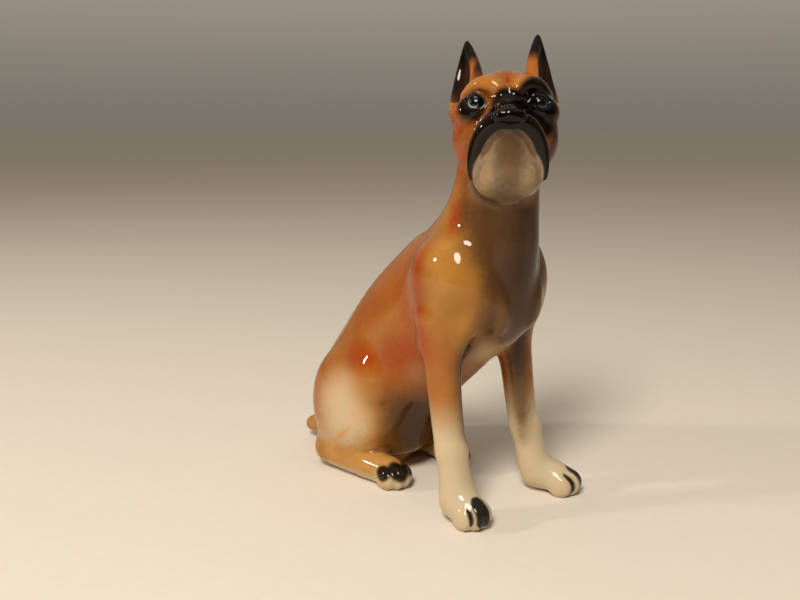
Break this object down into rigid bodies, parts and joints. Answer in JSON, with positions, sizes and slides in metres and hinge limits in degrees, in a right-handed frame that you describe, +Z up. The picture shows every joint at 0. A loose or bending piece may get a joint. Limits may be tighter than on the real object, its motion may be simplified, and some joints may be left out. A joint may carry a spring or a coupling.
{
  "type": "ceramic dog figurine",
  "caption": "Seated boxer dog figurine in glossy glazed ceramic, head turned to its right, with pointed cropped ears, straight forelegs and a docked tail.",
  "frame": {"origin": "on the table plane under the middle of the figurine's footprint", "axes": "+Z up; the dog's body faces -Y, its left side is +X, and its head is turned about 44 degrees to its right"},
  "size_m": [0.0439, 0.0966, 0.1216],
  "materials": {
    "coat_glaze": "glossy clear glaze over airbrushed fawn and red-brown underglaze",
    "mask_glaze": "glossy clear glaze over fawn with a black painted mask and pale chin",
    "ear_glaze": "glossy clear glaze over fawn shading to black tips",
    "sock_glaze": "glossy clear glaze, fawn above fading to cream paws with black toe strokes"
  },
  "bodies": {
    "root": {"body_shell": "coat_glaze", "head_shell": "mask_glaze", "ear_left": "ear_glaze", "ear_right": "ear_glaze", "foreleg_left": "sock_glaze", "foreleg_right": "sock_glaze", "hind_leg_left": "coat_glaze", "hind_leg_right": "coat_glaze", "tail_stub": "coat_glaze"}
  },
  "joints": []
}
